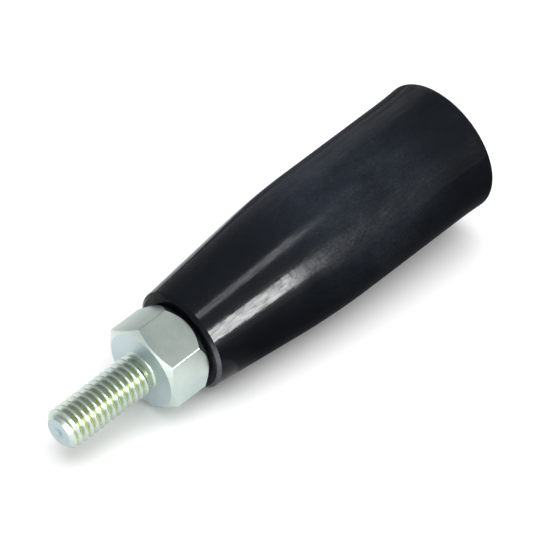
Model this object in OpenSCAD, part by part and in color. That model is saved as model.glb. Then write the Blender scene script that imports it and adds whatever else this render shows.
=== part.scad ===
// Revolving machine handle: a moulded grip that turns freely on a steel spindle.
// The spindle's threaded stud and its hexagon fix the handle to a handwheel, a crank or a lever.
// +X runs along the axis, from the hexagon's seat at the origin to the free end of the grip.

/* [Stud] */
// Outside diameter of the thread
stud_d = 6; // [4:0.5:10]
// Length of the stud from its tip to the hexagon's seat
stud_l = 15; // [8:1:40]
// Chamfer at the tip
tip_chamfer = 0.9; // [0.2:0.1:1.2]
// Diameter of the centre mark that the turning leaves in the tip
centre_mark_d = 1.4; // [0.5:0.1:2]

/* [Hexagon] */
// Width across the flats
hex_af = 12; // [10:0.5:24]
// Length along the axis
hex_l = 6.8; // [5:0.2:14]
// How far the round seat lies inside the flats
seat_inset = 0.3; // [0.1:0.05:0.8]
// Angle of the chamfer at the seat
seat_chamfer_angle = 30; // [15:1:45]
// How far the chamfer behind the hexagon starts inside the flats
back_inset = 0.1; // [0.05:0.05:0.8]
// Angle of that chamfer
back_chamfer_angle = 52; // [15:1:65]

/* [Journal] */
// Diameter that the grip turns on
journal_d = 8; // [6:0.5:10]
// Diameter of the thrust shoulder behind the hexagon
shoulder_d = 10.4; // [9.6:0.1:11.4]
// Height of the thrust shoulder
shoulder_l = 0.2; // [0.1:0.05:1]
// Depth of the clip's groove
groove_depth = 1; // [0.5:0.1:1.5]
// Length past the clip's groove
tail_l = 1.8; // [1:0.1:3]
// Chamfer at the hidden end
tail_chamfer = 0.5; // [0.2:0.1:0.8]

/* [Grip] */
// Length of the grip
grip_l = 51.2; // [40:0.2:100]
// Outer diameter of the end face next to the hexagon
mouth_d = 14; // [13:0.1:16]
// Diameter at the start of the taper
base_d = 15.1; // [14.2:0.1:19]
// Length of the chamfer between the two
base_chamfer_l = 0.4; // [0.3:0.1:2]
// Length from the end face to the corner that the swell rounds
swell_at = 21.6; // [18:0.1:28]
// Diameter at that corner, before it is rounded
swell_d = 19.5; // [18:0.1:22]
// Radius of the swell
swell_r = 130; // [40:5:240]
// Diameter where the flare starts
belly_d = 19.7; // [19:0.1:22]
// Length of the flare before the rounded rim
flare_l = 4.4; // [2:0.1:8]
// Largest diameter of the flared rim
rim_d = 20; // [19.8:0.1:23]
// Rounding of the rim
rim_round = 0.8; // [0.3:0.1:1.2]

/* [Bore] */
// Chamfer at the mouth of the bore
bore_chamfer = 0.5; // [0.2:0.1:1]
// Diameter of the counterbore at the free end
counterbore_d = 14.6; // [14.2:0.1:15.4]
// Depth of the counterbore
counterbore_l = 12.4; // [11:0.2:18]

/* [Washer and clip] */
// Outside diameter of the thrust washer
washer_d = 13.8; // [11:0.1:14]
// Thickness of the thrust washer
washer_t = 1.6; // [0.8:0.1:2.4]
// Outside diameter of the clip
clip_d = 12; // [10:0.1:13.6]
// Thickness of the clip
clip_t = 0.7; // [0.5:0.1:1.2]
// Width of the clip's open side
clip_opening = 5.2; // [4:0.1:5.6]
// Radius of the two reliefs between the clip's three jaws
clip_relief_r = 1.1; // [0.6:0.1:1.4]

/* [End cap] */
// Diameter of the cap's head
cap_d = 16.6; // [15.8:0.1:17.6]
// Thickness of the head
cap_t = 1.5; // [0.8:0.1:2.5]
// Length of the skirt that is pushed into the counterbore
skirt_l = 4; // [2:0.1:5]
// Wall of the skirt
skirt_wall = 1.4; // [0.8:0.1:2]
// How far the head lies below the rim
cap_set_back = 0.2; // [0.1:0.05:0.6]
// Chamfer round the head
cap_chamfer = 0.3; // [0.1:0.05:0.5]

/* [Clearances] */
// Radial clearance of the journal in the bore
running_clearance = 0.05; // [0.02:0.01:0.1]
// End play at the shoulder, and again at the washer
end_play = 0.1; // [0.05:0.01:0.3]
// Radial clearance of the washer on the journal
washer_clearance = 0.2; // [0.1:0.05:0.4]
// Clearance of the clip in its groove, on each face
clip_clearance = 0.03; // [0.02:0.01:0.05]
// Clearance of the cap in its seat, on each face
cap_clearance = 0.03; // [0.02:0.01:0.05]

/* [Hidden] */
$fn = 128;
// Steps of the arcs in the grip's outline
swell_steps = 12;
flare_steps = 6;
rim_steps = 8;
// Length by which a cut passes the face that it opens
past = 1;

stud_r = stud_d / 2;
hex_r = hex_af / sqrt(3);
seat_r = hex_af / 2 - seat_inset;
back_r = hex_af / 2 - back_inset;
journal_r = journal_d / 2;
groove_r = journal_r - groove_depth;
bore_r = journal_r + running_clearance;
// Angle of the sides of a centre mark to its axis
centre_mark_angle = 60;

// Places along the axis, from the seat
shoulder_x = hex_l + shoulder_l;
grip_x = shoulder_x + end_play;
grip_end_x = grip_x + grip_l;
counterbore_x = grip_end_x - counterbore_l;
washer_x = counterbore_x + end_play;
groove_x = washer_x + washer_t;
groove_end_x = groove_x + clip_t + 2 * clip_clearance;
tail_x = groove_end_x + tail_l;
cap_seat_x = grip_end_x - cap_set_back - cap_t - cap_clearance;

// Outline of the grip as [radius, length from its end face]
taper_start = [base_d / 2, base_chamfer_l];
swell_corner = [swell_d / 2, swell_at];
flare_start = [belly_d / 2, grip_l - rim_round - flare_l];
rim_start = [rim_d / 2, grip_l - rim_round];
rim_end = [rim_d / 2 - rim_round, grip_l];

// The swell is an arc that meets the taper and the belly without a corner
function unit(v) = v / norm(v);
function lean(v) = atan2(v.x, v.y);
taper_run = swell_corner - taper_start;
belly_run = flare_start - swell_corner;
swell_turn = lean(taper_run) - lean(belly_run);
swell_reach = min(swell_r * tan(abs(swell_turn) / 2), norm(taper_run), norm(belly_run));
swell_arc_r = swell_reach / tan(abs(swell_turn) / 2);
swell_start = swell_corner - unit(taper_run) * swell_reach;
swell_end = swell_corner + unit(belly_run) * swell_reach;

// The flare is an arc that leaves the belly without a corner and ends at the rim
flare_chord = rim_start - flare_start;
flare_turn = lean(flare_chord) - lean(belly_run);
flare_r = norm(flare_chord) / (2 * sin(abs(flare_turn)));

// Points of an arc after its start, which swells outwards or curves inwards
function arc(from, to, r, outwards, steps) =
    let (
        chord = to - from,
        side = [chord.y, -chord.x] / norm(chord),
        rise = sqrt(max(0, r * r - norm(chord) * norm(chord) / 4)),
        centre = (from + to) / 2 + side * (outwards ? -rise : rise),
        half_turn = asin(min(1, norm(chord) / 2 / r)),
        spoke = outwards ? side : -side
    )
    [for (i = [1:steps])
        let (turn = (outwards ? 1 : -1) * half_turn * (2 * i / steps - 1))
        i == steps ? to : centre + r * turned(spoke, turn)];
function turned(v, angle) = [v.x * cos(angle) - v.y * sin(angle), v.x * sin(angle) + v.y * cos(angle)];

// Turns a shape that is drawn along Z to lie along X, from a place on the axis
module along_x(x = 0)
    translate([x, 0, 0])
        rotate([0, 90, 0])
            children();

module grip_outline()
    polygon(concat(
        [[0, 0], [mouth_d / 2, 0], taper_start, swell_start],
        arc(swell_start, swell_end, swell_arc_r, swell_turn > 0, swell_steps),
        [flare_start],
        arc(flare_start, rim_start, flare_r, flare_turn < 0, flare_steps),
        arc(rim_start, rim_end, rim_round, true, rim_steps),
        [[0, grip_l]]
    ));

// Moulded grip, with a bearing bore, a counterbore for the washer and clip, and a seat for the cap
module grip_sleeve()
    color([0.1, 0.11, 0.13])
        difference() {
            along_x(grip_x)
                rotate_extrude()
                    grip_outline();
            along_x(grip_x - past)
                cylinder(r = bore_r, h = grip_l + 2 * past);
            along_x(grip_x)
                cylinder(r1 = bore_r + bore_chamfer, r2 = bore_r, h = bore_chamfer);
            along_x(counterbore_x)
                cylinder(d = counterbore_d, h = counterbore_l + past);
            along_x(cap_seat_x)
                cylinder(r = cap_d / 2 + cap_clearance, h = grip_l);
        }

// Hexagon with a round seat in front and a chamfer at both ends
module hexagon()
    intersection() {
        cylinder(r = hex_r, h = hex_l, $fn = 6);
        rotate_extrude()
            polygon([
                [0, 0],
                [seat_r, 0],
                [seat_r + hex_l / 2 / tan(seat_chamfer_angle), hex_l / 2],
                [back_r + hex_l / 2 / tan(back_chamfer_angle), hex_l / 2],
                [back_r, hex_l],
                [0, hex_l],
            ]);
    }

// Turned core of the spindle, from the tip of the stud to the hidden end
module spindle_core()
    rotate_extrude()
        polygon([
            [0, -stud_l],
            [stud_r - tip_chamfer, -stud_l],
            [stud_r, tip_chamfer - stud_l],
            [stud_r, hex_l / 2],
            [shoulder_d / 2, hex_l / 2],
            [shoulder_d / 2, shoulder_x],
            [journal_r, shoulder_x],
            [journal_r, groove_x],
            [groove_r, groove_x],
            [groove_r, groove_end_x],
            [journal_r, groove_end_x],
            [journal_r, tail_x - tail_chamfer],
            [journal_r - tail_chamfer, tail_x],
            [0, tail_x],
        ]);

// Steel spindle, turned in one piece from hexagon bar
module spindle()
    color([0.8, 0.84, 0.82])
        along_x()
            difference() {
                union() {
                    spindle_core();
                    hexagon();
                }
                translate([0, 0, -stud_l])
                    cylinder(
                        r1 = centre_mark_d / 2,
                        r2 = 0,
                        h = centre_mark_d / 2 / tan(centre_mark_angle)
                    );
            }

// Flat washer that bears on the floor of the counterbore
module thrust_washer()
    color([0.7, 0.72, 0.72])
        along_x(washer_x)
            difference() {
                cylinder(d = washer_d, h = washer_t);
                translate([0, 0, -past])
                    cylinder(r = journal_r + washer_clearance, h = washer_t + 2 * past);
            }

// E-shaped clip whose three jaws sit in the spindle's groove
module retaining_clip() {
    jaw_r = groove_r + clip_clearance;
    relief_angle = 60;
    color([0.35, 0.36, 0.38])
        along_x(groove_x + clip_clearance)
            linear_extrude(clip_t)
                difference() {
                    circle(d = clip_d);
                    circle(r = jaw_r);
                    translate([0, -clip_opening / 2])
                        square([clip_d, clip_opening]);
                    for (turn = [-relief_angle, relief_angle])
                        rotate(180 + turn)
                            translate([jaw_r, 0])
                                circle(r = clip_relief_r);
                }
}

// Push-in cap with a hollow skirt
module end_cap() {
    head_r = cap_d / 2;
    skirt_r = counterbore_d / 2 - cap_clearance;
    color([0.13, 0.14, 0.15])
        along_x(cap_seat_x + cap_clearance)
            rotate_extrude()
                polygon([
                    [skirt_r - skirt_wall, -skirt_l],
                    [skirt_r, -skirt_l],
                    [skirt_r, 0],
                    [head_r, 0],
                    [head_r, cap_t - cap_chamfer],
                    [head_r - cap_chamfer, cap_t],
                    [0, cap_t],
                    [0, 0],
                    [skirt_r - skirt_wall, 0],
                ]);
}

grip_sleeve();
spindle();
thrust_washer();
retaining_clip();
end_cap();
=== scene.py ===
"""Revolving machine handle: a moulded grip that turns on a zinc-plated steel spindle."""

from math import acos, atan2, cos, pi, radians, sin, sqrt, tan

import bpy
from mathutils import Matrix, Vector


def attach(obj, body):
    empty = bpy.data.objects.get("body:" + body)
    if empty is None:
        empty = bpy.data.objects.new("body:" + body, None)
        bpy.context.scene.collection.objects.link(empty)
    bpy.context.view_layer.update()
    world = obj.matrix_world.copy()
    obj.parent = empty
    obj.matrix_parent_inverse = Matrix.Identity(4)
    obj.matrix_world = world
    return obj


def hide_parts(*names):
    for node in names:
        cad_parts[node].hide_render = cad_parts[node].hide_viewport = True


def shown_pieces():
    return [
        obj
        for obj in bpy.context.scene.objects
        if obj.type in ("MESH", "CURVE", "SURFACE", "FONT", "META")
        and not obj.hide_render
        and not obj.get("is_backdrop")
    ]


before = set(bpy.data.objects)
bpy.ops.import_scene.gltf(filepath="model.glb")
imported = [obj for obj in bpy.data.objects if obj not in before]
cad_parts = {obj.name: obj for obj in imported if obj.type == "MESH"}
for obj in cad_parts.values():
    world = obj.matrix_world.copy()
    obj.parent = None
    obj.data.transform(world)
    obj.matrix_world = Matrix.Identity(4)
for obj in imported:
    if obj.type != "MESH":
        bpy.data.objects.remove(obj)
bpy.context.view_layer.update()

bl_info = {
    "name": "Revolving Machine Handle",
    "version": (1, 0, 0),
    "blender": (4, 5, 0),
    "location": "View3D > Sidebar > Handle",
    "description": "Models a revolving machine handle on its CAD frame and sets its studio",
    "category": "Add Mesh",
}

MM = 0.001
# Distance under which points that meet are one point
MEETING = 0.0005 * MM
# Faces round a turned piece, and round one turn of the thread
TURN_STEPS = 160
THREAD_STEPS = 72
# The largest angle between faces that still shade as one smooth surface
SMOOTH_ANGLE = radians(24)


def linear_colour(hex_code):
    """Turns an sRGB hex value to a linear colour with alpha"""
    channels = [int(hex_code[i:i + 2], 16) / 255 for i in (1, 3, 5)]
    linear = [c / 12.92 if c <= 0.04045 else ((c + 0.055) / 1.055) ** 2.4 for c in channels]
    return (*linear, 1.0)


def length(name, description, millimetres):
    """A length that a user may change, stated in millimetres and kept in metres"""
    return bpy.props.FloatProperty(
        name=name, description=description, default=millimetres * MM, min=0,
        precision=5, unit="LENGTH", subtype="DISTANCE",
    )


def colour(name, description, hex_code):
    """A colour that a user may change, stated as sRGB hex"""
    return bpy.props.FloatVectorProperty(
        name=name, description=description, default=linear_colour(hex_code),
        size=4, min=0, max=1, subtype="COLOR",
    )


class GripSizes(bpy.types.PropertyGroup):
    """Sizes of the moulded grip and the cap in its end"""

    start: length("Start", "Place of the grip's end face along the axis", 7.1)
    long: length("Length", "Length of the grip along its axis", 51.2)
    mouth_d: length("Mouth", "Diameter of the end face at the hexagon", 14)
    base_d: length("Base", "Diameter where the taper starts", 15.1)
    base_chamfer: length("Base chamfer", "Length of the chamfer round the base", 0.4)
    base_round: length("Base round", "Radius that breaks the chamfer's edges", 0.15)
    swell_at: length("Swell place", "Distance of the swell from the end face", 21.6)
    swell_d: length("Swell", "Diameter where the taper and the belly lines meet", 19.5)
    swell_r: length("Swell radius", "Radius that joins the taper to the belly", 130)
    belly_d: length("Belly", "Diameter where the flare starts", 19.7)
    flare: length("Flare", "Length of the flare before the rim", 4.4)
    rim_d: length("Rim", "Diameter of the rim", 20)
    rim_round: length("Rim round", "Radius of the rim", 0.8)
    bore_d: length("Bore", "Diameter of the bearing bore", 8.1)
    bore_chamfer: length("Bore chamfer", "Chamfer at the mouth of the bore", 0.5)
    counterbore_d: length("Counterbore", "Diameter of the counterbore", 14.6)
    counterbore_l: length("Counterbore depth", "Depth of the counterbore from the rim", 12.4)
    cap_d: length("Cap", "Diameter of the cap's head", 16.6)
    cap_t: length("Cap thickness", "Thickness of the cap's head", 1.5)
    cap_set_back: length("Cap set-back", "How far the cap lies below the rim", 0.2)
    cap_round: length("Cap round", "Radius round the cap's head", 0.3)
    skirt: length("Skirt", "Length of the cap's skirt", 4)
    skirt_wall: length("Skirt wall", "Thickness of the cap's skirt", 1.4)
    press_gap: length("Press gap", "Clearance round the cap in its seat", 0.03)


class SpindleSizes(bpy.types.PropertyGroup):
    """Sizes of the steel spindle"""

    stud_d: length("Thread", "Outside diameter of the thread", 6)
    stud_l: length("Stud", "Length of the stud from its tip to the seat", 15)
    pitch: length("Pitch", "Pitch of the thread", 1)
    thread_phase: bpy.props.FloatProperty(
        name="Thread phase", description="Part of a turn by which the thread is turned back",
        default=0.32,
    )
    crest_round: length("Crest round", "Radius of the edges of the thread's crest", 0.1)
    root_round: length("Root round", "Radius in the root of the thread", 0.144)
    tip_chamfer: length("Tip chamfer", "Chamfer at the tip of the stud", 0.9)
    edge_round: length("Edge round", "Radius that breaks the turned edges", 0.12)
    mark_d: length("Centre mark", "Diameter of the turning's centre mark in the tip", 1.4)
    neck_d: length("Neck", "Diameter of the run-out where the thread ends", 5.2)
    neck_l: length("Neck length", "Length of the run-out at the seat", 0.7)
    hex_af: length("Hexagon", "Width across the flats", 12)
    hex_l: length("Hexagon length", "Length of the hexagon along the axis", 6.8)
    corner_round: length("Corner round", "Radius on the hexagon's six corners", 0.16)
    seat_inset: length("Seat inset", "How far the round seat lies inside the flats", 0.3)
    back_inset: length("Back inset", "How far the back chamfer starts inside the flats", 0.1)
    seat_lean: bpy.props.FloatProperty(
        name="Seat chamfer", description="Angle of the chamfer round the seat, from the seat's plane",
        default=radians(30), unit="ROTATION", subtype="ANGLE",
    )
    back_lean: bpy.props.FloatProperty(
        name="Back chamfer", description="Angle of the chamfer at the grip, from the end's plane",
        default=radians(52), unit="ROTATION", subtype="ANGLE",
    )
    shoulder_d: length("Shoulder", "Diameter of the shoulder behind the hexagon", 10.4)
    shoulder_l: length("Shoulder length", "Length of the shoulder", 0.2)
    journal_d: length("Journal", "Diameter of the journal that the grip turns on", 8)
    groove_x: length("Groove place", "Place of the clip's groove along the axis", 47.6)
    groove_w: length("Groove width", "Width of the clip's groove", 0.76)
    groove_depth: length("Groove depth", "Depth of the clip's groove", 1)
    tail: length("Tail", "Length of the journal beyond the groove", 1.8)
    tail_chamfer: length("Tail chamfer", "Chamfer at the hidden end", 0.5)


class HandleColours(bpy.types.PropertyGroup):
    """Colours of the handle's finishes"""

    phenolic: colour("Phenolic", "Moulded grip", "#040507")
    phenolic_dust: colour("Phenolic haze", "Handling haze on the moulded grip", "#171b20")
    # Painted reflection of the white floor on the lower right of the base's chamfer
    phenolic_floor_reflection: colour("Phenolic floor reflection", "Painted floor reflection on the chamfer at the base of the grip", "#4a4c51")
    zinc: colour("Zinc", "Zinc plating where it is clear", "#c6d1c9")
    zinc_blue: colour("Blue zinc", "Zinc plating where its passivation is thin", "#b5c3c0")
    zinc_yellow: colour("Yellow zinc", "Zinc plating where its passivation is thick", "#bac494")
    zinc_faced: colour("Faced zinc", "Zinc plating on the hexagon's seat", "#bccacc")
    zinc_cut: colour("Cut zinc", "Zinc plating on the cut-off tip", "#b0bec0")
    zinc_stain: colour("Stained zinc", "Bluish stain round the centre mark", "#9fb0b8")
    washer: colour("Washer", "Plain stamped steel", "#c0c2c4")
    clip: colour("Clip", "Phosphated spring steel", "#5f6064")
    cap: colour("Cap", "Moulded plastic of the cap", "#131416")
    floor: colour("Floor", "Plain studio floor", "#f6f6f6")
    # Painted shade on the floor, seen in reflections only
    card: colour("Card", "Dark cards that only reflections see", "#868c92")


# Outlines and meshes

def rounded(corners, steps=8):
    """Points through (x, y, radius) corners, each corner with a radius drawn as a tangent arc"""
    points = []
    last = len(corners) - 1
    for i, (x, y, r) in enumerate(corners):
        here = Vector((x, y))
        if r == 0 or i in (0, last):
            points.append(here)
            continue
        back = (Vector(corners[i - 1][:2]) - here).normalized()
        ahead = (Vector(corners[i + 1][:2]) - here).normalized()
        half = acos(max(-1, min(1, back.dot(ahead)))) / 2
        centre = here + (back + ahead).normalized() * (r / sin(half))
        first = here + back * (r / tan(half)) - centre
        final = here + ahead * (r / tan(half)) - centre
        turn = atan2(first.x * final.y - first.y * final.x, first.dot(final))
        for step in range(steps + 1):
            a = turn * step / steps
            points.append(centre + Vector((
                first.x * cos(a) - first.y * sin(a),
                first.x * sin(a) + first.y * cos(a),
            )))
    return points


def draw_chain(name, points):
    """Draws a chain of edges through points, as a new object that stays in edit mode"""
    bpy.ops.object.select_all(action="DESELECT")
    bpy.ops.mesh.primitive_plane_add(size=MM, location=(0, 0, 0))
    chain = bpy.context.object
    chain.name = chain.data.name = name
    bpy.ops.object.mode_set(mode="EDIT")
    bpy.ops.mesh.select_all(action="SELECT")
    bpy.ops.mesh.merge(type="CENTER")
    bpy.ops.transform.translate(value=points[0])
    for before, after in zip(points, points[1:]):
        bpy.ops.mesh.extrude_vertices_move(
            TRANSFORM_OT_translate={"value": Vector(after) - Vector(before)}
        )
    bpy.ops.mesh.select_all(action="SELECT")
    return chain


def close_up():
    """Merges the points that meet in edit mode and turns the faces outwards"""
    bpy.ops.mesh.select_all(action="SELECT")
    bpy.ops.mesh.remove_doubles(threshold=MEETING)
    bpy.ops.mesh.normals_make_consistent(inside=False)


def turn_piece(name, outline):
    """Spins an (x, radius) outline about the handle's axis"""
    piece = draw_chain(name, [(x, 0, r) for x, r in outline])
    bpy.ops.mesh.spin(steps=TURN_STEPS, angle=2 * pi, center=(0, 0, 0), axis=(1, 0, 0))
    close_up()
    bpy.ops.object.mode_set(mode="OBJECT")
    return piece


def combine(piece, other, operation):
    """Joins, cuts or crosses a piece with another, which is used up"""
    bpy.ops.object.select_all(action="DESELECT")
    bpy.context.view_layer.objects.active = piece
    piece.select_set(True)
    bpy.ops.object.modifier_add(type="BOOLEAN")
    modifier = piece.modifiers[-1]
    modifier.operation = operation
    modifier.solver = "EXACT"
    modifier.object = other
    bpy.ops.object.modifier_apply(modifier=modifier.name)
    piece.select_set(False)
    other.select_set(True)
    bpy.ops.object.delete()


def shade(piece):
    """Smooths the curved faces and keeps the edges crisp"""
    bpy.ops.object.select_all(action="DESELECT")
    bpy.context.view_layer.objects.active = piece
    piece.select_set(True)
    bpy.ops.object.shade_smooth_by_angle(angle=SMOOTH_ANGLE)


def place(piece, node, body, material):
    """Gives a finished piece its body, the node it stands for and its material"""
    piece.data.materials.clear()
    piece.data.materials.append(material)
    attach(piece, body)
    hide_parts(node)


# Materials

def add_node(tree, kind, settings, inputs):
    """Adds a node with its settings, and links or sets its inputs"""
    new = tree.nodes.new(kind)
    for name, value in settings.items():
        setattr(new, name, value)
    for socket, value in inputs.items():
        if isinstance(value, bpy.types.NodeSocket):
            tree.links.new(value, new.inputs[socket])
        else:
            new.inputs[socket].default_value = value
    return new


def split(tree, vector):
    """The three axes of a vector, by name"""
    return add_node(tree, "ShaderNodeSeparateXYZ", {}, {"Vector": vector}).outputs


def stretch(tree, vector, factors):
    """Coordinates scaled along each axis, so that what is drawn on them is drawn out"""
    return add_node(tree, "ShaderNodeMapping", {}, {"Vector": vector, "Scale": factors}).outputs[0]


def noise(tree, vector, grain, detail, roughness=0.5, distortion=0.0):
    """Noise with grains of about a given size"""
    return add_node(tree, "ShaderNodeTexNoise", {}, {
        "Vector": vector, "Scale": 1 / grain, "Detail": detail, "Roughness": roughness,
        "Distortion": distortion,
    }).outputs["Fac"]


def ramp(tree, value, start, end, low=0.0, high=1.0, smooth=False):
    """Carries the range from start to end over to low to high, and holds it beyond both ends"""
    course = {"interpolation_type": "SMOOTHSTEP" if smooth else "LINEAR"}
    return add_node(tree, "ShaderNodeMapRange", course, {
        "Value": value, "From Min": start, "From Max": end, "To Min": low, "To Max": high,
    }).outputs[0]


def maths(tree, operation, *values, clamp=False):
    """One step of arithmetic on sockets and numbers"""
    settings = {"operation": operation, "use_clamp": clamp}
    return add_node(tree, "ShaderNodeMath", settings, dict(enumerate(values))).outputs[0]


def blend(tree, share, first, second, mode="MIX"):
    """Lays a share of the second colour over the first"""
    return add_node(tree, "ShaderNodeMix", {"data_type": "RGBA", "blend_type": mode}, {
        0: share, 6: first, 7: second,
    }).outputs[2]


def relief(tree, height, strength, depth, under=None):
    """Bumps of a given depth, on top of others if there are any"""
    inputs = {"Strength": strength, "Distance": depth, "Height": height}
    if under is not None:
        inputs["Normal"] = under
    return add_node(tree, "ShaderNodeBump", {}, inputs).outputs[0]


def new_material(name):
    """A new material with an empty node tree, and the coordinates to draw it on"""
    material = bpy.data.materials.new(name)
    material.use_nodes = True
    tree = material.node_tree
    tree.nodes.clear()
    return material, tree, add_node(tree, "ShaderNodeTexCoord", {}, {}).outputs


def close_material(material, shading):
    """Gives a material its shader and its output"""
    tree = material.node_tree
    shader = add_node(tree, "ShaderNodeBsdfPrincipled", {}, shading)
    add_node(tree, "ShaderNodeOutputMaterial", {}, {"Surface": shader.outputs["BSDF"]})
    return material


def moulded_phenolic(colours, sizes):
    """Black thermoset from a polished mould: a deep gloss with a faint orange peel and scuffs.
    The far half, where a hand wears it and dust settles, is hazier and greyer."""
    material, tree, at = new_material("moulded_phenolic")
    here = at["Object"]
    along = split(tree, here)
    # Orange peel about 1.4 mm from ripple to ripple
    peel = noise(tree, here, 1.4 * MM, 2.0, 0.45)
    # Fine pores of the moulding powder, drawn at 0.3 mm so that they show
    pores = noise(tree, here, 0.3 * MM, 3.0, 0.6)
    # Patches of handling haze, about 4 mm across, drawn out along the axis
    patches = noise(tree, stretch(tree, here, (0.55, 1.0, 1.0)), 4 * MM, 6.0, 0.62, 0.4)
    far_half = ramp(tree, along["X"], 16 * MM, 36 * MM, 0.14, 1.0, smooth=True)
    # The haze fades next to the rim: painted shade that darkens the grip towards the rim, which also
    # leaves it glossier there
    before_rim = ramp(tree, along["X"], 38 * MM, 54 * MM, 1.0, 0.25, smooth=True)
    haze_and_rim_shade = maths(tree, "MULTIPLY", far_half, before_rim)
    patchy = ramp(tree, patches, 0.2, 0.8, 0.12, 0.8)
    flecks = ramp(tree, pores, 0.35, 0.7, 0.7, 1.3)
    dusty = maths(tree, "MULTIPLY", patchy, flecks)
    haze = maths(tree, "MULTIPLY", dusty, haze_and_rim_shade, clamp=True)
    body = blend(tree, haze, colours.phenolic, colours.phenolic_dust)
    # Painted reflection: the base's chamfer is painted grey on its lower right, where it would mirror
    # the white floor
    edge_x = sizes.start + sizes.base_chamfer
    onto_chamfer = ramp(
        tree, along["X"], sizes.start - 0.02 * MM, sizes.start + 0.1 * MM, smooth=True,
    )
    off_chamfer = ramp(tree, along["X"], edge_x + 0.12 * MM, edge_x - 0.02 * MM, smooth=True)
    to_right = ramp(tree, along["Y"], -3.5 * MM, -6.5 * MM, smooth=True)
    downwards = ramp(tree, along["Z"], 4.5 * MM, 0.5 * MM, 0.03, 1.0, smooth=True)
    floor_reflection_share = onto_chamfer
    for share in (off_chamfer, to_right, downwards, flecks):
        floor_reflection_share = maths(tree, "MULTIPLY", floor_reflection_share, share, clamp=True)
    body_with_reflection = blend(tree, floor_reflection_share, body, colours.phenolic_floor_reflection)
    # Scuffs along the axis, drawn 0.35 mm wide and 3 mm long so that they break up the highlights
    scuffs = noise(tree, stretch(tree, here, (0.12, 1.0, 1.0)), 0.35 * MM, 3.0, 0.6)
    scuffed = ramp(tree, scuffs, 0.45, 0.7, 0.0, 0.1)
    specular = ramp(tree, scuffs, 0.35, 0.65, 0.072, 0.045)
    # The taper keeps its gloss up to the swell
    past_taper = ramp(tree, along["X"], 20 * MM, 26 * MM, smooth=True)
    rubbed = maths(tree, "MULTIPLY", haze, past_taper)
    hazed = ramp(tree, rubbed, 0, 1, 0.1, 0.34)
    # A thin dull film on the taper draws a glow round its highlights
    film = ramp(tree, past_taper, 0, 1, 0.02, 0.0)
    ripple = relief(tree, peel, 0.7, 0.02 * MM)
    return close_material(material, {
        "Base Color": body_with_reflection, "Roughness": maths(tree, "ADD", hazed, scuffed), "IOR": 1.5,
        "Specular IOR Level": specular, "Coat Weight": film, "Coat Roughness": 0.4,
        "Normal": relief(tree, pores, 0.1, 0.006 * MM, ripple),
    })


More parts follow.
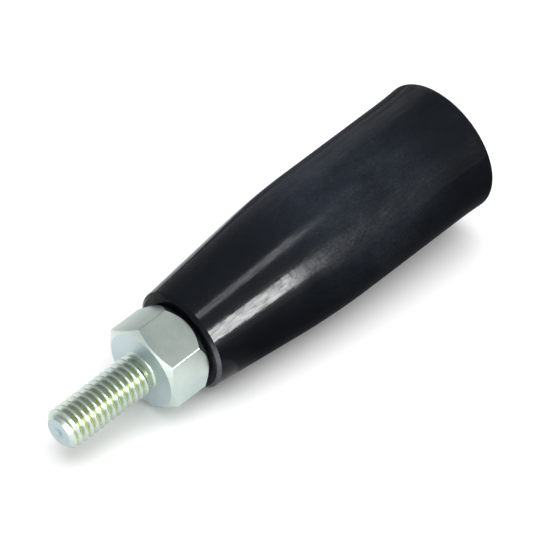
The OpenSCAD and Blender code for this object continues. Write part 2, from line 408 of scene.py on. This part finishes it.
def zinc_plated_steel(colours, sizes):
    """Turned steel with bright zinc and clear passivation: a pale grey metal with a soft sheen.
    Its tint drifts from bluish to yellow-green, turned faces show rings and flats show drawn lines."""
    material, tree, at = new_material("zinc_plated_steel")
    here = at["Object"]
    spot = split(tree, here)
    facing = split(tree, at["Normal"])["X"]
    across = add_node(tree, "ShaderNodeCombineXYZ", {}, {"X": 0.0, "Y": spot["Y"], "Z": spot["Z"]})
    radius = add_node(tree, "ShaderNodeVectorMath", {"operation": "LENGTH"}, {
        0: across.outputs[0],
    }).outputs["Value"]
    stud_r = sizes.stud_d / 2
    thread_end = sizes.tip_chamfer - sizes.stud_l
    # Tint of the passivation, in clouds about 5 mm across
    clouds = noise(tree, here, 5 * MM, 3.0, 0.55)
    tint = add_node(tree, "ShaderNodeValToRGB", {}, {"Fac": clouds})
    thin, clear = tint.color_ramp.elements
    thin.position, thin.color = 0.36, colours.zinc_blue
    clear.position, clear.color = 0.62, colours.zinc
    # Passivation gathers in the roots of the thread and dries yellow-green there
    in_root = ramp(tree, radius, stud_r - 0.15 * MM, stud_r - 0.5 * MM)
    past_neck = maths(tree, "LESS_THAN", spot["X"], -0.3 * MM)
    before_tip = maths(tree, "GREATER_THAN", spot["X"], thread_end)
    on_thread = maths(tree, "MULTIPLY", past_neck, before_tip)
    on_side = ramp(tree, facing, -0.95, -0.88)
    # It ran to one side of the stud as it drained
    drained = ramp(tree, spot["Y"], 0.4 * MM, -1.6 * MM, 0.2, 0.85, smooth=True)
    gathered = in_root
    for share in (on_thread, on_side, drained):
        gathered = maths(tree, "MULTIPLY", gathered, share)
    plating = blend(tree, gathered, tint.outputs["Color"], colours.zinc_yellow)
    # Turning rings on the faces across the axis, drawn 0.22 mm apart so that they show
    ring_angle = maths(tree, "MULTIPLY", radius, 2 * pi / (0.22 * MM))
    turned_face = ramp(tree, facing, -0.9, -0.98)
    rings = maths(tree, "MULTIPLY", maths(tree, "SINE", ring_angle), turned_face)
    # Lines of the drawn hexagon bar, 0.25 mm apart and 20 mm long
    lines = noise(tree, stretch(tree, here, (0.0125, 1.0, 1.0)), 0.25 * MM, 2.0)
    # Grain of the plating, drawn at 0.35 mm so that it shows
    grain = noise(tree, here, 0.35 * MM, 2.0, 0.6)
    # The tool leaves a dull spot round the centre mark
    centre = ramp(tree, radius, 0.75 * sizes.mark_d, 0.3 * sizes.mark_d, smooth=True)
    at_tip = maths(tree, "LESS_THAN", spot["X"], thread_end)
    dull_spot = maths(tree, "MULTIPLY", centre, at_tip)
    # A turned face is duller than a drawn flat, and a rolled thread is brighter
    sheen = ramp(tree, grain, 0.3, 0.7, 0.28, 0.36)
    for share, change in ((turned_face, 0.16), (dull_spot, 0.3), (on_thread, -0.08)):
        sheen = maths(tree, "MULTIPLY_ADD", share, change, sheen)
    # The tip's end face is tinted darker than the seat
    tip_to_seat = ramp(tree, spot["X"], -0.8 * sizes.stud_l, -0.2 * sizes.stud_l)
    face_tint = blend(tree, tip_to_seat, colours.zinc_cut, colours.zinc_faced)
    on_faces = blend(tree, turned_face, plating, face_tint)
    stained = blend(tree, dull_spot, on_faces, colours.zinc_stain)
    mottle = ramp(tree, grain, 0.25, 0.75, 0.96, 1.02)
    ring_bump = relief(tree, rings, 0.3, 0.008 * MM)
    return close_material(material, {
        "Base Color": blend(tree, 1.0, stained, mottle, "MULTIPLY"), "Metallic": 1.0,
        "Roughness": sheen, "Normal": relief(tree, lines, 0.15, 0.01 * MM, ring_bump),
    })


def stamped_steel(name, shade_colour, roughness, streak):
    """Stamped sheet steel: flat grey, with the streaks that the rolling leaves"""
    material, tree, at = new_material(name)
    streaks = noise(tree, stretch(tree, at["Object"], (1.0, 1.0, 0.06)), streak, 3.0, 0.6)
    return close_material(material, {
        "Base Color": shade_colour, "Metallic": 1.0,
        "Roughness": ramp(tree, streaks, 0, 1, roughness - 0.12, roughness + 0.12),
        "Normal": relief(tree, streaks, 0.2, 0.01 * MM),
    })


def moulded_cap_plastic(colours):
    """Polyamide from a spark-eroded mould: satin black with a fine even texture"""
    material, tree, at = new_material("moulded_polyamide")
    # Texture of the mould, drawn at 0.25 mm so that it shows
    texture = noise(tree, at["Object"], 0.25 * MM, 3.0, 0.6)
    return close_material(material, {
        "Base Color": colours.cap, "Roughness": ramp(tree, texture, 0, 1, 0.42, 0.58), "IOR": 1.53,
        "Normal": relief(tree, texture, 0.35, 0.015 * MM),
    })


def matt_board(material, tree, vector, grain, shade_colour):
    """Finishes a material as board with a matt face and no shine of its own"""
    fibres = noise(tree, vector, grain, 2.0)
    return close_material(material, {
        "Base Color": shade_colour, "Roughness": ramp(tree, fibres, 0, 1, 0.85, 0.95),
        "Specular IOR Level": 0.0,
    })


def studio_floor(colours):
    """Matt white board: even and pale"""
    material, tree, at = new_material("matt_white_board")
    return matt_board(material, tree, at["Object"], 4 * MM, colours.floor)


def dark_card(colours):
    """Matt dark card, which keeps the floor's white out of the gloss: painted shade that only
    reflections see.
    It fades to white along its left edge, so that no edge of it shows as a line."""
    material, tree, at = new_material("matt_dark_card")
    # The card is one unit wide before it is scaled
    left_edge = -0.5
    fade = ramp(tree, split(tree, at["Object"])["X"], left_edge, left_edge + 0.016)
    graded = blend(tree, fade, colours.floor, colours.card)
    return matt_board(material, tree, at["Object"], 25 * MM, graded)


# Operators, one for each piece

class HANDLE_OT_grip(bpy.types.Operator):
    """Turn the outline of the moulded grip, with its bore, its counterbore and the cap's seat"""

    bl_idname = "handle.grip"
    bl_label = "Mould the Grip"

    def execute(self, context):
        s = context.scene.handle_grip
        end = s.start + s.long
        rim_x = end - s.rim_round
        swell = Vector((s.start + s.swell_at, s.swell_d / 2))
        flare_start = Vector((rim_x - s.flare, s.belly_d / 2))
        rim = Vector((rim_x, s.rim_d / 2))
        # The flare leaves the belly line without a corner and ends at the rim
        belly = (flare_start - swell).normalized()
        chord = rim - flare_start
        bend = atan2(chord.y, chord.x) - atan2(belly.y, belly.x)
        flare_corner = flare_start + belly * (chord.length / 2 / cos(bend))
        flare_r = chord.length / 2 / sin(abs(bend))
        floor_x = end - s.counterbore_l
        seat_x = end - s.cap_set_back - s.cap_t - s.press_gap
        seat_r = s.cap_d / 2 + s.press_gap
        # Radius on the inside of the rim
        inner_round = 0.15 * MM
        bore_r = s.bore_d / 2
        outline = rounded([
            (s.start, bore_r + s.bore_chamfer, 0),
            (s.start, s.mouth_d / 2, s.base_round),
            (s.start + s.base_chamfer, s.base_d / 2, s.base_round),
            (swell.x, swell.y, s.swell_r),
            (flare_corner.x, flare_corner.y, flare_r),
            (rim_x, s.rim_d / 2, 0),
            (end, s.rim_d / 2, s.rim_round),
            (end, seat_r, inner_round),
            (seat_x, seat_r, 0),
            (seat_x, s.counterbore_d / 2, 0),
            (floor_x, s.counterbore_d / 2, 0),
            (floor_x, bore_r, 0),
            (s.start + s.bore_chamfer, bore_r, 0),
            (s.start, bore_r + s.bore_chamfer, 0),
        ])
        grip = turn_piece("grip_moulding", outline)
        shade(grip)
        finish = moulded_phenolic(context.scene.handle_colours, s)
        place(grip, "grip_sleeve", "grip", finish)
        return {"FINISHED"}


class HANDLE_OT_spindle(bpy.types.Operator):
    """Turn the spindle: a screwed stud, a chamfered hexagon and the journal, joined as one piece"""

    bl_idname = "handle.spindle"
    bl_label = "Turn the Spindle"

    def screwed_stud(self, s):
        """Cuts the thread as one profile screwed along the axis, then trims its ends"""
        crest_r = s.stud_d / 2
        half_pitch = s.pitch / 2
        half_crest = s.pitch / 16
        # Where the two flanks of a 60 degree thread would meet below its root
        flank = tan(radians(30))
        root_apex = crest_r - (half_pitch - half_crest) / flank
        # The rounds on both edges of a crest just fit beside each other
        crest_round = min(s.crest_round, half_crest / flank * 0.98)
        # Turns before the tip, and turns in all beyond the stud's own
        lead_turns, spare_turns = 2, 6
        start = -s.stud_l - (lead_turns + s.thread_phase) * s.pitch
        # The chain runs from crest to crest, so that the root's round is whole
        profile = rounded([
            (start - half_pitch, crest_r, 0),
            (start - half_pitch + half_crest, crest_r, crest_round),
            (start, root_apex, s.root_round),
            (start + half_pitch - half_crest, crest_r, crest_round),
            (start + half_pitch, crest_r, 0),
        ], steps=4)
        stud = draw_chain("spindle_turning", [(x, 0, r) for x, r in profile])
        bpy.ops.object.mode_set(mode="OBJECT")
        bpy.ops.object.modifier_add(type="SCREW")
        screw = stud.modifiers[-1]
        screw.axis = "X"
        screw.angle = 2 * pi
        screw.screw_offset = s.pitch
        screw.iterations = int(s.stud_l / s.pitch) + spare_turns
        screw.steps = screw.render_steps = THREAD_STEPS
        bpy.ops.object.modifier_apply(modifier=screw.name)
        bpy.ops.object.mode_set(mode="EDIT")
        close_up()
        for x, side in ((-s.stud_l - s.pitch / 2, -1), (2 * s.pitch, 1)):
            bpy.ops.mesh.select_all(action="SELECT")
            bpy.ops.mesh.bisect(
                plane_co=(x, 0, 0), plane_no=(side, 0, 0), use_fill=True, clear_outer=True,
                threshold=MEETING,
            )
        close_up()
        bpy.ops.object.mode_set(mode="OBJECT")
        # The tip's chamfer and centre mark and the run-out at the seat, clear of the crests
        clear = 0.4 * MM
        above = crest_r + clear
        mark_r = s.mark_d / 2
        mark_round = 2.5 * s.edge_round
        tip_r = crest_r - s.tip_chamfer
        # The core's own neck covers this one
        cover = 0.1 * MM
        neck_r = s.neck_d / 2 - cover
        limit = turn_piece("stud_limit", rounded([
            (-s.stud_l + mark_r / tan(radians(60)), 0, 0),
            (-s.stud_l, mark_r, mark_round),
            (-s.stud_l, tip_r, s.edge_round),
            (-s.stud_l + above - tip_r, above, 0),
            (-s.neck_l - (above - s.neck_d / 2), above, 0),
            (-s.neck_l - (neck_r - s.neck_d / 2), neck_r, 0),
            (s.pitch, neck_r, 0),
            (s.pitch, 0, 0),
        ]))
        combine(stud, limit, "INTERSECT")
        return stud

    def hexagon(self, s):
        """Cuts a length of hexagon bar and chamfers both ends on the lathe"""
        corner_r = s.hex_af / sqrt(3)
        # The bar is longer than the hexagon, which the lathe's outline then trims
        spare = s.hex_l / 4
        corners = [(-spare, corner_r * sin(i * pi / 3), corner_r * cos(i * pi / 3)) for i in range(6)]
        bar = draw_chain("hexagon_bar", corners)
        bpy.ops.mesh.edge_face_add()
        bpy.ops.mesh.extrude_region_move(
            TRANSFORM_OT_translate={"value": (s.hex_l + 2 * spare, 0, 0)}
        )
        close_up()
        bpy.ops.mesh.select_mode(type="EDGE")
        bpy.ops.mesh.select_all(action="DESELECT")
        bpy.ops.object.mode_set(mode="OBJECT")
        for edge in bar.data.edges:
            ends = [bar.data.vertices[v].co.x for v in edge.vertices]
            edge.select = abs(ends[0] - ends[1]) > s.hex_l / 2
        bpy.ops.object.mode_set(mode="EDIT")
        bpy.ops.mesh.bevel(offset=s.corner_round, segments=3, affect="EDGES")
        bpy.ops.mesh.select_mode(type="VERT")
        bpy.ops.object.mode_set(mode="OBJECT")
        seat_r = s.hex_af / 2 - s.seat_inset
        back_r = s.hex_af / 2 - s.back_inset
        middle = s.hex_l / 2
        chamfers = turn_piece("hexagon_chamfers", rounded([
            (0, 0, 0),
            (0, seat_r, s.edge_round),
            (middle, seat_r + middle / tan(s.seat_lean), 0),
            (middle, back_r + middle / tan(s.back_lean), 0),
            (s.hex_l, back_r, s.edge_round),
            (s.hex_l, 0, 0),
        ]))
        combine(bar, chamfers, "INTERSECT")
        return bar

    def execute(self, context):
        s = context.scene.handle_spindle
        stud = self.screwed_stud(s)
        bar = self.hexagon(s)
        neck_r = s.neck_d / 2
        journal_r = s.journal_d / 2
        groove_r = journal_r - s.groove_depth
        shoulder_x = s.hex_l + s.shoulder_l
        groove_end = s.groove_x + s.groove_w
        tail_x = groove_end + s.tail
        middle = s.hex_l / 2
        # The fillet at the neck ends just below the seat, so that no two faces share a plane
        sunk = 0.01 * MM
        fillet_r = 0.4 * MM
        collar_r = neck_r + 0.6 * MM
        shoulder_round = 0.06 * MM
        core = turn_piece("spindle_core", rounded([
            (-s.neck_l - s.pitch / 2, 0, 0),
            (-s.neck_l - s.pitch / 2, neck_r, 0),
            (sunk, neck_r, fillet_r),
            (sunk, collar_r, 0),
            (middle, collar_r, 0),
            (middle, s.shoulder_d / 2, 0),
            (shoulder_x, s.shoulder_d / 2, shoulder_round),
            (shoulder_x, journal_r, 0),
            (s.groove_x, journal_r, 0),
            (s.groove_x, groove_r, 0),
            (groove_end, groove_r, 0),
            (groove_end, journal_r, 0),
            (tail_x - s.tail_chamfer, journal_r, 0),
            (tail_x, journal_r - s.tail_chamfer, 0),
            (tail_x, 0, 0),
        ]))
        combine(bar, core, "UNION")
        combine(stud, bar, "UNION")
        shade(stud)
        finish = zinc_plated_steel(context.scene.handle_colours, s)
        place(stud, "spindle", "spindle", finish)
        return {"FINISHED"}


class HANDLE_OT_cap(bpy.types.Operator):
    """Turn the push-in cap with its hollow skirt"""

    bl_idname = "handle.cap"
    bl_label = "Press in the Cap"

    def execute(self, context):
        s = context.scene.handle_grip
        face = s.start + s.long - s.cap_set_back
        under = face - s.cap_t
        skirt_r = s.counterbore_d / 2 - s.press_gap
        head_r = s.cap_d / 2
        inner_r = skirt_r - s.skirt_wall
        # Rounds in the hollow, on the skirt's inner edge, at its lead-in and under the head
        hollow_round, lip_round, lead_in, under_round = 0.3 * MM, 0.2 * MM, 0.4 * MM, 0.1 * MM
        cap = turn_piece("cap_moulding", rounded([
            (under, 0, 0),
            (under, inner_r, hollow_round),
            (under - s.skirt, inner_r, lip_round),
            (under - s.skirt, skirt_r, lead_in),
            (under, skirt_r, 0),
            (under, head_r, under_round),
            (face, head_r, s.cap_round),
            (face, 0, 0),
        ]))
        shade(cap)
        finish = moulded_cap_plastic(context.scene.handle_colours)
        place(cap, "end_cap", "grip", finish)
        return {"FINISHED"}


class HANDLE_OT_retention(bpy.types.Operator):
    """Give the washer and the clip, which keep their CAD shapes, their finishes"""

    bl_idname = "handle.retention"
    bl_label = "Finish the Washer and Clip"

    def execute(self, context):
        colours = context.scene.handle_colours
        finishes = {
            "thrust_washer": stamped_steel("stamped_plain_steel", colours.washer, 0.42, 0.5 * MM),
            "retaining_clip": stamped_steel("phosphated_spring_steel", colours.clip, 0.55, 0.3 * MM),
        }
        for name, material in finishes.items():
            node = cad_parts[name]
            node.data.materials.clear()
            node.data.materials.append(material)
        return {"FINISHED"}


class HANDLE_OT_stage(bpy.types.Operator):
    """Set the floor under the handle as it lies, the soft lights and the camera"""

    bl_idname = "handle.stage"
    bl_label = "Set the Stage"

    # The handle lies on its swell, so its axis dips about 5 degrees towards the hexagon
    floor_up = Vector((0.0872, -0.0543, 0.9947)).normalized()
    floor_size = 4.0
    camera_at = Vector((-232.89, -308.12, 361.92)) * MM
    camera_turn = [radians(a) for a in (47.663, 5.739, -45.143)]
    # A focal length of 4000 px in a picture 550 px wide, on a sensor of this width (mm)
    sensor_width = 36
    camera_lens = sensor_width * 4000 / 550
    # Strength of the room's light, and its shares from overhead and from behind
    world_light = 0.92
    overhead_share = 0.72
    behind_share = 0.55
    # Dark cards that lie beside the gloss and show in reflections only, as painted shade on the floor
    # that the gloss mirrors: left, near, right and far (mm)
    flags = ((12, -220, 260, 10), (42, 10, 300, 300))
    flag_gap = 0.2 * MM
    # The point in the grip that every light faces
    light_aim = Vector((0.025, 0, 0))
    # Each light: name, place, size, watts, the piece that it is flagged to and what it draws on it
    lights = (
        ("sky_on_floor", (0.18, -0.21, 0.9), (1.4, 1.4), 12.5, "studio_floor", "both"),
        ("left_on_spindle", (-0.83, -0.25, 0.14), (0.24, 0.2), 3.8, "spindle_turning", "both"),
        ("behind_on_spindle", (-0.05, 0.9, 0.2), (0.9, 0.4), 0.35, "spindle_turning", "both"),
        ("window_on_spindle", (0.37, -0.72, 0.19), (0.5, 0.36), 4.6, "spindle_turning", "both"),
        ("window_on_grip", (0.13, -0.755, 0.265), (0.28, 0.34), 34.0, "grip_moulding", "gloss"),
        ("overhead_on_grip", (0.20, -0.29, 0.72), (0.3, 0.14), 2.5, "grip_moulding", "gloss"),
        ("behind_on_grip", (0.62, 0.66, 0.42), (0.35, 0.5), 0.42, "grip_moulding", "gloss"),
        ("haze_on_grip", (-0.03, -0.22, 0.76), (0.3, 0.3), 26.0, "grip_moulding", "body"),
    )

    def execute(self, context):
        scene = context.scene
        lowest = min(
            (piece.matrix_world @ v.co).dot(self.floor_up)
            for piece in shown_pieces() for v in piece.data.vertices
        )
        bpy.ops.object.select_all(action="DESELECT")
        bpy.ops.mesh.primitive_plane_add(
            size=self.floor_size, location=self.floor_up * lowest,
            rotation=self.floor_up.to_track_quat("Z", "Y").to_euler(),
        )
        floor = context.object
        floor.name = floor.data.name = "studio_floor"
        floor.data.materials.append(studio_floor(scene.handle_colours))
        floor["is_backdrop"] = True

        for left, near, right, far in self.flags:
            x, y = (left + right) / 2 * MM, (near + far) / 2 * MM
            up = self.floor_up
            height = (lowest + self.flag_gap - x * up.x - y * up.y) / up.z
            bpy.ops.mesh.primitive_plane_add(
                size=1, location=(x, y, height),
                rotation=Vector((0, 0, 1)).rotation_difference(up).to_euler(),
            )
            flag = context.object
            flag.name = flag.data.name = "reflection_flag"
            flag.scale = ((right - left) * MM, (far - near) * MM, 1)
            flag.data.materials.append(dark_card(scene.handle_colours))
            flag.visible_camera = flag.visible_diffuse = flag.visible_shadow = False
            flag.visible_transmission = False
            flag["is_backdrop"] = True

        for name, at, (wide, high), watts, only, draws in self.lights:
            aim = (self.light_aim - Vector(at)).to_track_quat("-Z", "Y").to_euler()
            bpy.ops.object.light_add(type="AREA", location=at, rotation=aim)
            lamp = context.object
            lamp.name = lamp.data.name = name
            lamp.data.shape = "RECTANGLE"
            lamp.data.size, lamp.data.size_y = wide, high
            lamp.data.energy = watts
            lit = bpy.data.collections.new(name + "_lights")
            lit.objects.link(bpy.data.objects[only])
            lamp.light_linking.receiver_collection = lit
            lamp.visible_diffuse = draws != "gloss"
            lamp.visible_glossy = draws != "body"

        world = bpy.data.worlds.new("studio_air")
        world.use_nodes = True
        tree = world.node_tree
        tree.nodes.clear()
        # The room is brightest at the window's side and darkest overhead and behind the handle
        way = split(tree, add_node(tree, "ShaderNodeTexCoord", {}, {}).outputs["Generated"])
        overhead = ramp(
            tree, way["Z"], 0.25, 0.9, self.world_light, self.world_light * self.overhead_share,
            smooth=True,
        )
        behind = ramp(tree, way["Y"], -0.3, 0.8, 1.0, self.behind_share, smooth=True)
        air = add_node(tree, "ShaderNodeBackground", {}, {
            "Color": linear_colour("#ffffff"), "Strength": maths(tree, "MULTIPLY", overhead, behind),
        })
        add_node(tree, "ShaderNodeOutputWorld", {}, {"Surface": air.outputs[0]})
        scene.world = world

        bpy.ops.object.camera_add(location=self.camera_at, rotation=self.camera_turn)
        camera = context.object
        camera.name = camera.data.name = "photo_camera"
        camera.data.sensor_width = self.sensor_width
        camera.data.lens = self.camera_lens
        camera.data.clip_start, camera.data.clip_end = 0.01, 20
        scene.camera = camera
        scene.view_settings.view_transform = "Standard"
        return {"FINISHED"}


class HANDLE_PT_panel(bpy.types.Panel):
    """Lists the steps that make the handle, and its sizes and colours"""

    bl_idname = "HANDLE_PT_panel"
    bl_label = "Revolving Handle"
    bl_space_type = "VIEW_3D"
    bl_region_type = "UI"
    bl_category = "Handle"

    def draw(self, context):
        steps = self.layout.column(align=True)
        for step in STEPS:
            steps.operator(step.bl_idname)
        for title, group in (
            ("Grip", context.scene.handle_grip),
            ("Spindle", context.scene.handle_spindle),
            ("Colours", context.scene.handle_colours),
        ):
            box = self.layout.box()
            box.label(text=title)
            for prop in group.__annotations__:
                box.prop(group, prop)


STEPS = (HANDLE_OT_grip, HANDLE_OT_spindle, HANDLE_OT_cap, HANDLE_OT_retention, HANDLE_OT_stage)
GROUPS = {
    "handle_grip": GripSizes,
    "handle_spindle": SpindleSizes,
    "handle_colours": HandleColours,
}


def register():
    for group in GROUPS.values():
        bpy.utils.register_class(group)
    for name, group in GROUPS.items():
        setattr(bpy.types.Scene, name, bpy.props.PointerProperty(type=group))
    for step in STEPS:
        bpy.utils.register_class(step)
    bpy.utils.register_class(HANDLE_PT_panel)


def unregister():
    bpy.utils.unregister_class(HANDLE_PT_panel)
    for step in reversed(STEPS):
        bpy.utils.unregister_class(step)
    for name, group in GROUPS.items():
        delattr(bpy.types.Scene, name)
        bpy.utils.unregister_class(group)


def main():
    register()
    bpy.ops.handle.grip()
    bpy.ops.handle.spindle()
    bpy.ops.handle.cap()
    bpy.ops.handle.retention()
    bpy.ops.handle.stage()


if __name__ == "__main__":
    main()
